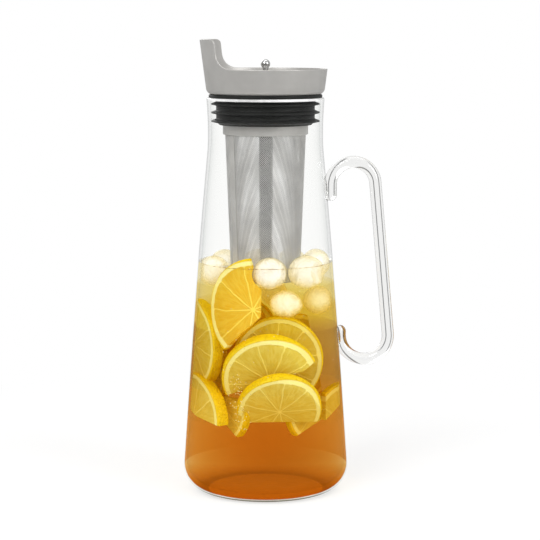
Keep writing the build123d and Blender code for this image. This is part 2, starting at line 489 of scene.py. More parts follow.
def siliconeFinish(look):
    material = startMaterial("black silicone")
    place = objectPlace()
    bloom = noise(place, 70, 5, 0.6)
    dust = noise(place, 900, 2, 0.5)
    skin = noise(place, 3500, 2, 0.6)
    colour = tint(spread(bloom, 0.35, 0.75, 0, 1), look["dark"], look["light"])
    finish(put("BsdfPrincipled", {
        "Base Color": tint(step(dust, 0.70, 0.80), colour, look["dust"]),
        "Roughness": spread(bloom, 0.3, 0.7, look["smooth"], look["rough"]),
        "Normal": relief(skin, look["grainDepth"] * mm, 0.5),
        "Specular IOR Level": 0.22, "Sheen Weight": 0.06, "Sheen Roughness": 0.4,
    }).outputs[0])
    return material


blackSilicone = siliconeFinish(siliconeLook)

wallGlassLook = {
    "wave": 0.06, "headOn": 0.012, "edgePower": 4.0, "face": (0.994, 0.995, 0.991),
    "edge": (0.90, 0.91, 0.905), "inside": 0.15, "wetOutside": 0.1, "far": 0.35,
    # The lip's share is a painted highlight of matt white on the rim
    "lipHeight": 260.6, "lip": 0.7, "footTeaShade": (0.14, 0.11, 0.04), "footHeight": 4.5, "footRadius": 38.6,
    "footMirror": 0.1,
}


def wallGlassFinish(look):
    # Thin glass: it lets lamps through, mirrors by its angle and greys a little at its edges
    material = startMaterial("carafe glass")
    place = objectPlace()
    smear = noise(place, 45, 5, 0.6)
    normal = relief(noise(stretch(place, (1, 1, 0.35)), 30, 2, 0.4), look["wave"] * mm, 0.5)
    through = tint(maths("POWER", facingShare(), look["edgePower"]), look["face"], look["edge"])
    east, north, height = partsOf(place)
    behind = backShare()
    # Round the foot the glass is deep and takes the colour of the tea, darkened by painted shade for the
    # shadowed floor and tea that it bends into view
    foot = opposite(step(height, look["footHeight"] * 0.25 * mm, look["footHeight"] * mm))
    foot = times(foot, maths("GREATER_THAN", lengthOf(east, north), look["footRadius"] * mm))
    foot = times(foot, opposite(behind))
    mirror = glossy(spread(smear, 0.3, 0.7, 0.01, 0.05), white, Normal=normal)
    # The inner skin and the far side mirror less, the wetted skin hardly at all
    share = times(mirrorShare(look["headOn"]), opposite(stored("inner")))
    share = times(share, spread(behind, 0, 1, 1.0, look["far"]))
    share = times(share, spread(foot, 0, 1, 1.0, look["footMirror"]))
    # The fire-polished lip is thick and round. Its white line is a painted highlight: a share of matt white
    # mixed in there
    lip = step(height, look["lipHeight"] * mm, (look["lipHeight"] + 0.5) * mm)
    lip = times(lip, spread(smear, 0.35, 0.6, look["lip"] * 0.5, look["lip"]))
    # The foot's dark tint is the tea's colour with painted shade
    body = mixed(lip, clear(tint(foot, through, look["footTeaShade"])), matt(white))
    finish(mixed(share, body, mirror))
    return material


wallGlass = wallGlassFinish(wallGlassLook)

rodGlassLook = {"colour": (0.985, 0.985, 0.98), "bend": 1.47, "lamps": (0.90, 0.91, 0.905), "streak": 0.02}


def rodGlassFinish(look):
    # Thick glass bends what is behind it, and lamps pass it as they pass thin glass
    material = startMaterial("handle glass")
    place = objectPlace()
    streak = noise(stretch(place, (1, 1, 0.12)), 260, 2, 0.5)
    smear = noise(place, 60, 4, 0.6)
    bend = put("BsdfGlass", {
        "Color": look["colour"], "IOR": look["bend"], "Roughness": spread(smear, 0.3, 0.7, 0.04, 0.10),
        "Normal": relief(streak, look["streak"] * mm, 0.35),
    }).outputs[0]
    finish(mixed(either(*rays("Shadow", "Diffuse")), bend, clear(look["lamps"])))
    return material


rodGlass = rodGlassFinish(rodGlassLook)
print("finishes made")


# Carafe: wall, heavy base, neck and fire-polished rim, in mm

drinkLevel = 153.7

carafe = {
    "height": 262.5, "baseRadius": 56.1, "corner": 17.0, "bulge": 0.87,
    "shoulderHeight": 226.0, "shoulderRadius": 38.4, "waistHeight": 236.5, "waistRadius": 37.9,
    "rimRadius": 38.9, "wall": 1.8, "rimWall": 2.3, "base": 5.0, "rimRound": 0.95,
    "puntRadius": 37.0, "puntDepth": 1.2, "neckMiddle": 37.5, "columns": 192, "arcTurn": 8,
}


def wallRadius(height, inset=0.0):
    share = height / carafe["shoulderHeight"]
    cone = carafe["baseRadius"] + (carafe["shoulderRadius"] - carafe["baseRadius"]) * share
    return cone + 4 * carafe["bulge"] * share * (1 - share) - inset


def skinPoints(low, inset, rimInset, lastHeight=None):
    # One skin of the carafe from its floor to its rim or to a last height, as corners with radii
    firstRow, rowHeight = 20.0, 6.0
    shoulderHeight = carafe["shoulderHeight"]
    end = lastHeight or shoulderHeight - 3
    corners = [(0, low, 0), (wallRadius(0, inset), low, carafe["corner"] - inset)]
    height = low + firstRow
    while height < min(end, shoulderHeight - 3):
        corners.append((wallRadius(height, inset), height, 0))
        height += rowHeight
    if lastHeight:
        return corners + [(wallRadius(lastHeight, inset), lastHeight, 0)]
    shoulder = Vector((carafe["shoulderRadius"] - inset, shoulderHeight))
    below = Vector((wallRadius(shoulderHeight - 4, inset), shoulderHeight - 4))
    waist = Vector((carafe["waistRadius"] - inset, carafe["waistHeight"]))
    rim = Vector((carafe["rimRadius"] - rimInset, carafe["height"]))
    blend = tangentArc(shoulder, shoulder - below, waist, 5)
    lip = tangentArc(waist, blend[-1] - blend[-2], rim, 9)
    return corners + [(point.x, point.y, 0) for point in [shoulder] + blend + lip]


def innerShare(spot):
    # How little the glass mirrors here: 0 on the dry outer skin, nearly 1 inside and where it is filled
    across = math.hypot(spot.x, spot.y)
    inWall = across < wallRadius(spot.z, carafe["wall"] / 2) and spot.z > carafe["base"] - 0.1
    inNeck = spot.z > carafe["shoulderHeight"] and across < carafe["neckMiddle"]
    wet = spot.z < drinkLevel
    if inWall or inNeck:
        return 1.0 if wet else 1 - wallGlassLook["inside"]
    return 1 - wallGlassLook["wetOutside"] if wet else 0.0


def makeCarafe():
    outer = skinPoints(0, 0, 0)
    inner = skinPoints(carafe["base"], carafe["wall"], carafe["rimWall"])
    rims = [(across, up, carafe["rimRound"]) for across, up, sharp in (outer.pop(), inner.pop())]
    reach, depth = carafe["puntRadius"], carafe["puntDepth"]
    dome = (reach ** 2 + depth ** 2) / (2 * depth)
    punt = []
    for i in range(9):
        across = reach * i / 8
        punt.append((across, max(depth - dome + math.sqrt(dome ** 2 - across ** 2), 0), 0))
    corners = punt + outer[1:] + rims + inner[::-1]
    piece = turnPiece("carafe_body", corners, carafe["columns"], False, carafe["arcTurn"])
    storeFloats(piece, "inner", [innerShare(vertex.co / mm) for vertex in piece.data.vertices])
    polish(piece, 60)
    hand(piece, wallGlass, "carafe", "clear_glass", "carafe_glass")


makeCarafe()
print("carafe made")


# Handle: one bent rod whose two ends are melted on to the wall

handle = {
    "radius": 4.0, "topBend": 14.75, "topHeight": 205.4, "bottomBend": 15.95, "bottomHeight": 104.6,
    "topSink": 1.15, "bottomSink": 3.1, "topEnd": 7.0, "bottomEnd": 2.7, "webReach": 1.7, "webHeight": 11.0,
    "topWeb": 207.4, "bottomWeb": 101.6, "bendSteps": 30, "ballSteps": 8,
}
welds = {
    # Where the melted glass of each end is, and its depth, width and height
    "top": (202.5, (1.5, 3.4, 8.5)), "bottom": (103.5, (1.7, 3.4, 7.0)),
}


def bendPoints(centre, radius, start, end):
    points = []
    for i in range(handle["bendSteps"] + 1):
        angle = start + (end - start) * i / handle["bendSteps"]
        points.append(centre + radius * Vector((math.cos(angle), math.sin(angle))))
    return points


def handlePath():
    topBend, bottomBend, radius = handle["topBend"], handle["bottomBend"], handle["radius"]
    topSide = wallRadius(handle["topHeight"]) + radius - handle["topSink"]
    bottomSide = wallRadius(handle["bottomHeight"]) + radius - handle["bottomSink"]
    top = Vector((topSide + topBend, handle["topHeight"]))
    bottom = Vector((bottomSide + bottomBend, handle["bottomHeight"]))
    span = top - bottom
    tilt = math.atan2(-span.x, span.y) + math.asin((bottomBend - topBend) / span.length)
    topArc = bendPoints(top, topBend, math.pi, tilt)
    bottomArc = bendPoints(bottom, bottomBend, tilt, -math.pi)
    start = [Vector((topSide, top.y - handle["topEnd"] * (1 - i / 8))) for i in range(8)]
    grip = [topArc[-1].lerp(bottomArc[0], i / 30) for i in range(1, 30)]
    end = [Vector((bottomSide, bottom.y + handle["bottomEnd"] * i / 4)) for i in range(1, 5)]
    return start + topArc + grip + bottomArc + end


def ballEnd(end, sign):
    # The ball ends are more stations of the same rod, each a smaller ring
    radius, steps = handle["radius"], handle["ballSteps"]
    angles = [math.radians(90 * k / (steps + 0.3)) for k in range(1, steps + 1)]
    return [(end + Vector((0, sign * radius * math.sin(a))), radius * math.cos(a)) for a in angles]


def melted(spot):
    # The side next to the wall is drawn on to it where the glass was melted together
    across = math.hypot(spot.x, spot.y)
    gap = across - wallRadius(spot.z)
    away = min(abs(spot.z - handle["topWeb"]), abs(spot.z - handle["bottomWeb"]))
    reach = handle["webReach"] * max(0.0, 1 - away / handle["webHeight"]) ** 0.5
    push = 0
    if gap < 0:
        push = -gap
    elif gap < reach:
        push = -gap * (1 - gap / reach)
    scale = (across + push) / across
    return Vector((spot.x * scale, spot.y * scale, spot.z))


def makeHandle():
    points = handlePath()
    radius = handle["radius"]
    stations = ballEnd(points[0], -1)[::-1] + [(point, radius) for point in points] + ballEnd(points[-1], 1)
    curve = bpy.data.curves.new("handle_rod", "CURVE")
    curve.dimensions = "3D"
    spline = curve.splines.new("POLY")
    spline.points.add(len(stations) - 1)
    for point, (place, size) in zip(spline.points, stations):
        point.co = (place.x * mm, 0, place.y * mm, 1)
        point.radius = size / radius
    curve.bevel_depth = radius * mm
    curve.bevel_resolution = 10
    curve.use_fill_caps = True
    piece = bpy.data.objects.new("handle_rod", curve)
    bpy.context.scene.collection.objects.link(piece)
    pick(piece)
    bpy.ops.object.convert(target="MESH")
    piece = rename(bpy.context.object, "carafe_handle_rod")
    editMode(piece)
    bpy.ops.mesh.remove_doubles(threshold=0.01 * mm)
    bpy.ops.mesh.normals_make_consistent(inside=False)
    setMode("OBJECT")
    for vertex in piece.data.vertices:
        vertex.co = melted(vertex.co / mm) * mm
    polish(piece, 80)
    hand(piece, rodGlass, "carafe", "clear_glass", "carafe_handle")


def makeWeld(name, height, size):
    # A flattened drop of glass where the rod was melted to the wall
    sphere = bpy.ops.mesh.primitive_uv_sphere_add
    piece = newPiece("handle_weld_" + name, sphere, segments=40, ring_count=24, radius=mm)
    piece.scale = size
    slope = (wallRadius(height + 5) - wallRadius(height - 5)) / 10
    piece.rotation_euler = (0, math.atan(slope), 0)
    piece.location = Vector((wallRadius(height) - 0.3, 0, height)) * mm
    applyAll(piece)
    polish(piece, 80)
    hand(piece, rodGlass, "carafe", "clear_glass")


makeHandle()
for name, (height, size) in welds.items():
    makeWeld(name, height, size)
print("handle made")


# Lid: pressed cup with a swept spout, and what it carries

lid = {
    "bottom": 264.5, "sheet": 1.0, "foot": 38.6, "corner": 4.5, "flare": 7.35, "rim": 281.3,
    "spoutTop": 300.5, "spoutBack": 32.3, "wingFoot": 30.1, "wingTop": 3.0, "wingSweep": 14.0,
    "rimRound": 0.42, "edge": 1.0, "holeRadius": 16.0, "holeRound": 0.9, "floorRing": 28.0,
    "lipBottom": 262.2, "lipReach": 18.6, "lipGauge": 0.7, "columns": 400, "rows": 12,
}
flareSlope = math.tan(math.radians(lid["flare"]))


def cupRadius(height):
    return lid["foot"] + (height - lid["bottom"]) * flareSlope


def rimTable(count):
    # The rim's line, from the handle's side to the middle of the spout, in equal steps: its angle and height
    beyond, fineStep = 60.0, 0.04
    line = softCorners([
        (-beyond, lid["spoutTop"], 0),
        (-lid["spoutBack"], lid["spoutTop"], lid["wingTop"]),
        (-lid["wingFoot"], lid["rim"], lid["wingSweep"]),
        (beyond, lid["rim"], 0),
    ], closed=False, turn=3)[::-1]
    fine = []
    for here, there in zip(line, line[1:]):
        pieces = max(1, int((there - here).length / fineStep))
        for k in range(pieces):
            point = here.lerp(there, k / pieces)
            radius = cupRadius(point.y)
            if abs(point.x) <= radius:
                fine.append(Vector((point.x, math.sqrt(radius ** 2 - point.x ** 2), point.y)))
    lengths = [0]
    for here, there in zip(fine, fine[1:]):
        lengths.append(lengths[-1] + (there - here).length)
    table = []
    place = 0
    for i in range(count + 1):
        wanted = lengths[-1] * i / count
        while place < len(fine) - 2 and lengths[place + 1] < wanted:
            place += 1
        spot = fine[place]
        table.append((math.atan2(spot.y, spot.x), spot.z))
    table[0] = (0.0, lid["rim"])
    table[-1] = (math.pi, lid["spoutTop"])
    return table


def makeLid():
    sheet, low, top, hole = lid["sheet"], lid["bottom"], lid["spoutTop"], lid["holeRadius"]
    lipLow, lipTop, floorTop = lid["lipBottom"], lid["lipBottom"] + lid["lipGauge"], low + sheet
    wallLow, wallHigh = low + lid["corner"] + lid["edge"], top - lid["edge"]
    heights = [wallLow + (wallHigh - wallLow) * i / lid["rows"] for i in range(lid["rows"] + 1)]
    corners = [
        (hole, lipLow, 0.2), (lid["lipReach"], lipLow, 0.3), (lid["lipReach"], lipTop, 0.3),
        (hole + sheet, lipTop, 0.3), (hole + sheet, low, 0.5), (lid["foot"], low, lid["corner"]),
    ]
    corners += [(cupRadius(height), height, 0) for height in heights]
    corners += [(cupRadius(top), top, lid["rimRound"]), (cupRadius(top) - sheet, top, lid["rimRound"])]
    corners += [(cupRadius(height) - sheet, height, 0) for height in heights[::-1]]
    corners += [
        (cupRadius(floorTop) - sheet, floorTop, lid["corner"] - sheet), (lid["floorRing"], floorTop, 0),
        (hole, floorTop, lid["holeRound"]),
    ]
    piece = turnPiece("lid_cup", corners, lid["columns"])
    # Each column of the wall is drawn down to the rim's line
    half = lid["columns"] // 2
    table = rimTable(half)
    for vertex in piece.data.vertices:
        spot = vertex.co / mm
        angle = math.atan2(spot.y, spot.x)
        newAngle, end = table[min(half, round(abs(angle) / math.pi * half))]
        newAngle = math.copysign(newAngle, angle)
        height = spot.z
        if spot.z > wallHigh - 0.01:
            height = spot.z - top + end
        elif spot.z > wallLow:
            height = wallLow + (spot.z - wallLow) * (end - lid["edge"] - wallLow) / (wallHigh - wallLow)
        radius = math.hypot(spot.x, spot.y) + (height - spot.z) * flareSlope
        vertex.co = Vector((radius * math.cos(newAngle), radius * math.sin(newAngle), height)) * mm
    piece.data.update()
    polish(piece, 40)
    hand(piece, satinSteel, "lid", "satin_steel", "lid_shell")


makeLid()

core = {
    "bore": 28.2, "outside": 29.7, "bottom": 246.4, "plate": 263.0, "plateRadius": 33.0, "hole": 17.1,
    "seat": 26.4, "seatBottom": 258.1,
}


def makeCore():
    bore, outside, bottom, plate = core["bore"], core["outside"], core["bottom"], core["plate"]
    wide, hole, seat, under = core["plateRadius"], core["hole"], core["seat"], core["seatBottom"]
    piece = turnPiece("stopper_core", [
        (bore, bottom, 0.4), (outside, bottom, 0.4), (outside, plate, 0.4), (wide, plate, 0.3),
        (wide, lid["bottom"], 0.2), (hole, lid["bottom"], 0.2), (hole, plate, 0.3), (seat, plate, 0.6),
        (seat, under, 0.3), (bore, under, 0.2),
    ], 128)
    hand(piece, brushedSteel, "lid", "satin_steel", "lid_core")


makeCore()

stopper = {
    "flange": 37.4, "flangeBottom": 262.5, "body": 32.5, "fin": 35.8, "fins": (258.6, 253.0, 247.4),
    "root": 1.3, "tip": 0.4, "droop": 0.3, "bottom": 244.6, "foot": 30.3, "lip": 28.4, "gap": 0.1,
}


def makeStopper():
    wide, body, fin, under = stopper["flange"], stopper["body"], stopper["fin"], stopper["flangeBottom"]
    bottom, lip, bore = stopper["bottom"], stopper["lip"], core["outside"] + stopper["gap"]
    top, rim = lid["bottom"], core["plateRadius"] + stopper["gap"]
    corners = [(rim, top, 0.2), (wide, top, 0.5), (wide, under, 0.7), (body, under, 1.0)]
    for height in stopper["fins"]:
        end = height - stopper["droop"]
        corners += [
            (body, height + stopper["root"], 0.9), (fin, end + stopper["tip"], 0.38),
            (fin, end - stopper["tip"], 0.38), (body, height - stopper["root"], 0.9),
        ]
    # Below the last fin the body slopes in to its foot, and a lip holds the core's lower end
    corners[-1] = (body - 1.1, bottom + 1.1, 0.5)
    corners += [
        (stopper["foot"], bottom, 0.6), (lip, bottom, 0.3), (lip, core["bottom"], 0.2),
        (bore, core["bottom"], 0.2), (bore, core["plate"], 0.2), (rim, core["plate"], 0.2),
    ]
    piece = turnPiece("finned_stopper", corners)
    hand(piece, blackSilicone, "lid", "black_silicone", "stopper_seal")


makeStopper()

knob = {
    "ball": 3.1, "centre": 284.4, "stem": 2.1, "stud": 1.5, "bottom": 264.3, "flap": 267.7, "foot": 4.2,
    "footTop": 268.7, "stemRows": (275.0, 279.0), "steps": 24,
}


def makeKnob():
    ball, stem, stud, foot = knob["ball"], knob["stem"], knob["stud"], knob["foot"]
    corners = [
        (0, knob["bottom"], 0), (stud, knob["bottom"], 0.3), (stud, knob["flap"], 0),
        (foot, knob["flap"], 0.15), (foot, knob["footTop"], 0.4), (stem, knob["footTop"], 0.9),
    ]
    corners += [(stem, height, 0) for height in knob["stemRows"]]
    start = math.asin(stem / ball)
    for i in range(knob["steps"] + 1):
        angle = start + (math.pi - start) * i / knob["steps"]
        corners.append((ball * math.sin(angle), knob["centre"] - ball * math.cos(angle), 0))
    piece = turnPiece("ball_knob", corners, 64, False)
    polish(piece, 30)
    hand(piece, brightSteel, "pour_flap", "polished_steel", "knob")


makeKnob()


# Strainer: a collar, three etched panels that meet under the plain strips and at the parting, a mesh floor

strainer = {
    "topRadius": 26.6, "top": 243.4, "collarBottom": 238.4, "bottom": 143.4, "taper": 2.24, "gauge": 0.3,
    "seam": -144.5, "seamWidth": 6.5, "back": 92.0, "backWidth": 9.5, "parting": 10.0, "underStrip": 0.4,
    "cell": 1.25, "web": 0.13, "plainTop": 5.2, "plainBottom": 4.0, "clearance": 0.01,
    "collarInside": 26.9, "collarOutside": 28.1, "collarTop": 258.1,
    "floorSide": 44.0, "floorRadius": 22.0, "floorEtched": 19.5, "floorDrop": 0.1,
}
taperSlope = math.tan(math.radians(strainer["taper"]))


def makeCollar():
    inside, outside = strainer["collarInside"], strainer["collarOutside"]
    low, top = strainer["collarBottom"], strainer["collarTop"]
    corners = [(inside, low, 0.45), (outside, low, 0.45), (outside, top, 0.3), (inside, top, 0.3)]
    hand(turnPiece("strainer_ring", corners), brushedSteel, "strainer", "satin_steel", "strainer_collar")


makeCollar()
print("lid and collar made")


def etchDiamonds(piece, plain):
    # Quads are turned into diamonds, each is inset and its middle taken out. plain says which stay whole
    editMode(piece, "FACE")
    bpy.ops.mesh.poke()
    bpy.ops.mesh.select_mode(type="EDGE")
    bpy.ops.mesh.select_all(action="DESELECT")
    setMode("OBJECT")
    mesh = piece.data
    uses = {}
    for face in mesh.polygons:
        for key in face.edge_keys:
            uses[key] = uses.get(key, 0) + 1
    for edge in mesh.edges:
        one, two = (mesh.vertices[i].co for i in edge.vertices)
        straight = abs(one.x - two.x) < 1e-6 or abs(one.y - two.y) < 1e-6
        edge.select = straight and uses[edge.key] == 2
    setMode("EDIT")
    bpy.ops.mesh.dissolve_edges(use_verts=False)
    editFaces(piece, lambda face: len(face.vertices) == 4 and not plain(face.center))
    bpy.ops.mesh.inset(use_individual=True, thickness=strainer["web"] * mm)
    bpy.ops.mesh.delete(type="FACE")
    setMode("OBJECT")


def plainHalf(bearing):
    # How much of a panel stays plain beside this bearing, under the strip that covers its edge
    if bearing == strainer["parting"]:
        return 0
    width = strainer["backWidth"] if bearing == strainer["back"] else strainer["seamWidth"]
    return width / 2 - strainer["underStrip"]


def makePanel(name, start, end):
    width = math.radians(end - start) * strainer["topRadius"]
    height = strainer["top"] - strainer["bottom"]
    piece = newPiece(
        "strainer_mesh_" + name, bpy.ops.mesh.primitive_grid_add, size=1,
        x_subdivisions=round(width / strainer["cell"]), y_subdivisions=round(height / strainer["cell"]),
    )
    for vertex in piece.data.vertices:
        vertex.co = Vector(((vertex.co.x + 0.5) * width, (vertex.co.y + 0.5) * height, 0)) * mm
    left, right = plainHalf(start), width - plainHalf(end)
    low, high = strainer["plainBottom"], height - strainer["plainTop"]
    etchDiamonds(piece, lambda spot: not (left < spot.x / mm < right and low < spot.y / mm < high))
    top = strainer["topRadius"] - strainer["clearance"]
    for vertex in piece.data.vertices:
        spot = vertex.co / mm
        level = strainer["bottom"] + spot.y
        angle = math.radians(start) + spot.x / strainer["topRadius"]
        radius = top - (strainer["collarBottom"] - level) * taperSlope
        vertex.co = Vector((radius * math.cos(angle), radius * math.sin(angle), level)) * mm
    giveGauge(piece)
    hand(piece, meshSteel, "strainer", "mesh_steel", "strainer_tube")


makePanel("front", strainer["seam"], strainer["parting"])
makePanel("side", strainer["parting"], strainer["back"])
makePanel("rear", strainer["back"], strainer["seam"] + 360)
print("strainer panels made")


def makeFloorMesh():
    side = strainer["floorSide"]
    count = round(side / strainer["cell"])
    grid = bpy.ops.mesh.primitive_grid_add
    piece = newPiece("strainer_mesh_floor", grid, x_subdivisions=count, y_subdivisions=count, size=side * mm)
    etchDiamonds(piece, lambda spot: spot.length > strainer["floorEtched"] * mm)
    editFaces(piece, lambda face: face.center.length > strainer["floorRadius"] * mm)
    bpy.ops.mesh.delete(type="FACE")
    setMode("OBJECT")
    for vertex in piece.data.vertices:
        vertex.co.z = (strainer["bottom"] - strainer["floorDrop"]) * mm
    giveGauge(piece)
    hand(piece, meshSteel, "strainer", "mesh_steel", "strainer_floor")


makeFloorMesh()

fittings = {
    # node: how far its edges are eased, its finish, body and slot
    "strainer_seam_strip": (0.1, brushedSteel, "strainer", "satin_steel"),
    "strainer_back_strip": (0.1, brushedSteel, "strainer", "satin_steel"),
    "strainer_base": (0.2, brushedSteel, "strainer", "satin_steel"),
    "hinge_bracket": (0.2, brushedSteel, "lid", "satin_steel"),
    "hinge_pin": (0.2, brightSteel, "lid", "polished_steel"),
    "flap": (0.25, satinSteel, "pour_flap", "satin_steel"),
    "flap_gasket": (0.25, blackSilicone, "pour_flap", "black_silicone"),
    "knob_nut": (0.2, brightSteel, "pour_flap", "polished_steel"),
}
for name, values in fittings.items():
    softenNode(name, *values)
print("small fittings made")


# The drink that the photograph shows. It rides the carafe and can be left out

drink = {
    "show": True, "bottom": 1.35, "skinInset": 0.4, "roomInset": 1.85, "turn": 2.5, "seam": 0.02,
    "columns": 144, "baseTint": 3.6, "baseHeight": 27.0, "litShare": 0.2,
    # The ice melts at the top, so the tea is palest there. Each layer's top, what a millimetre takes of red,
    # green and blue, and the tint of a glance along its side
    "layers": (
        (50.0, (0.0062, 0.0190, 0.0470), (0.83, 0.53, 0.20)),
        (72.0, (0.0070, 0.0180, 0.0470), (0.77, 0.50, 0.17)),
        # The layers from 72 to 112 mm absorb more red and have darker sides: painted shade for the lemon
        # slices' shadow in that part of the tea
        (92.0, (0.0092, 0.0190, 0.0430), (0.67, 0.46, 0.18)),
        (112.0, (0.0092, 0.0175, 0.0420), (0.68, 0.49, 0.22)),
        (128.0, (0.0046, 0.0100, 0.0400), (0.84, 0.68, 0.34)),
        (141.0, (0.0032, 0.0066, 0.0250), (0.88, 0.77, 0.48)),
        (drinkLevel, (0.0018, 0.0032, 0.0085), (0.92, 0.86, 0.66)),
    ),
}


def teaFinish(name, absorb, sideTint):
    # Amber by depth. Its side is seen through glass that bends light, so a glance along it is amber as well,
    # and so is a look down through the heavy base
    material = startMaterial(name)
    place = objectPlace()
    drift = noise(place, 35, 4, 0.6)
    glance = times(maths("POWER", facingShare(), 1.3), spread(drift, 0.3, 0.7, 0.92, 1.06))
    glance = either(times(glance, stored("skin")), times(stored("base"), opposite(backShare())))
    lit = either(*rays("Shadow", "Diffuse"))
    glance = times(glance, opposite(lit))
    through = clear(put("Gamma", {0: sideTint, 1: glance}).outputs[0])
    ripple = relief(noise(place, 60, 2, 0.5), 0.6 * mm, 0.7)
    mirror = glossy(spread(drift, 0.3, 0.7, 0.02, 0.06), white, Normal=ripple)
    densest = max(absorb)
    colour = [1 - a / densest for a in absorb]
    density = densest / mm
    density = timesPlus(lit, density * (drink["litShare"] - 1), density)
    volume = put("VolumeAbsorption", {"Color": colour, "Density": density}).outputs[0]
    finish(mixed(times(mirrorShare(0.02), stored("top")), through, mirror), Volume=volume)
    return material


# middle, cloud and rim are a painted highlight and painted shade by the angle the ball is seen at; amber is
# painted light low in the tea; glow is painted light
iceLook = {
    "middle": (1.0, 1.0, 0.96), "cloud": (1.0, 0.94, 0.76), "rim": (1.0, 0.87, 0.50),
    "clear": (0.99, 0.97, 0.88), "amber": (1.0, 0.90, 0.52), "amberStart": 150.0, "amberEnd": 130.0,
    "glow": 0.07, "through": 0.4, "wetMirror": 0.05, "dryMirror": 0.35,
}


def iceFinish(look):
    # White and cloudy in its middle and clearer towards its edge. Its colour runs from a painted highlight in
    # the middle to painted shade at its edge, by the angle it is seen at; low in the tea it gets painted
    # amber light, and a small painted glow stands in for light scattered inside
    material = startMaterial("cloudy ice")
    place = objectPlace()
    height = partsOf(place)[2]
    cloud = noise(place, 95, 5, 0.65, 1.0)
    crack = noise(stretch(place, (1, 1.6, 0.7)), 420, 3, 0.6, 1.2)
    edge = timesPlus(spread(cloud, 0.3, 0.7, 0.0, 1.0), 0.45, facingShare())
    # The colours picked by edge are a painted highlight in the middle and painted shade towards the rim
    pale = tint(step(edge, 0.22, 0.68), look["middle"], look["cloud"])
    pale = tint(step(edge, 0.55, 1.05), pale, look["rim"])
    # Painted amber light on the ice low in the tea
    deep = spread(height, look["amberEnd"] * mm, look["amberStart"] * mm, 1.0, 0.0)
    deep = times(deep, spread(edge, 0.1, 0.9, 0.35, 1.0))
    pale = tint(deep, pale, tint(1.0, pale, look["amber"], "MULTIPLY"))
    # The glow is painted light: the ice glows a little though it is no lamp
    milk = added(milky(look["through"], pale, relief(cloud, 1.6 * mm, 0.6)), glowing(pale, look["glow"]))
    thick = times(opposite(step(edge, 0.30, 1.25)), spread(cloud, 0.35, 0.65, 0.97, 0.72))
    thick = timesPlus(step(crack, 0.62, 0.72), 0.12, thick, clamp=True)
    dry = spread(height, drinkLevel * mm, (drinkLevel + 1) * mm, look["wetMirror"], look["dryMirror"])
    body = mixed(thick, clear(look["clear"]), milk)
    finish(mixed(times(mirrorShare(0.02), dry), body, glossy(spread(crack, 0.3, 0.7, 0.04, 0.12))))
    return material


def teaLineFinish():
    # The thin brown line where the tea wets the glass, broken in places
    material = startMaterial("tea line")
    breaks = noise(objectPlace(), 330, 3, 0.6)
    body = clear(tint(step(breaks, 0.45, 0.65), (0.96, 0.92, 0.80), (0.62, 0.45, 0.22)))
    finish(mixed(0.05, body, glossy(spread(breaks, 0.3, 0.7, 0.05, 0.15))))
    return material


lemon = {
    # Places in the master slice, whose radius is 30 mm
    "master": 30.0, "segments": 9, "pulp": 26.3, "pith": 28.7, "core": 1.1, "skin": 0.10, "corner": 2.0,
    "rindColour": (0.93, 0.68, 0.009), "rindDark": (0.84, 0.54, 0.006),
    "pithColour": (1.0, 0.93, 0.34), "pithFibre": (1.0, 0.96, 0.50), "juice": (0.96, 0.86, 0.45),
    # Light and dark pulp, and the skins between the segments
    "kinds": {
        "golden": ((0.98, 0.72, 0.06), (0.92, 0.58, 0.02), (1.0, 0.79, 0.11)),
        "olive": ((0.95, 0.83, 0.15), (0.86, 0.68, 0.06), (0.99, 0.87, 0.20)),
        "pale": ((0.98, 0.86, 0.18), (0.88, 0.70, 0.08), (1.0, 0.90, 0.26)),
    },
}


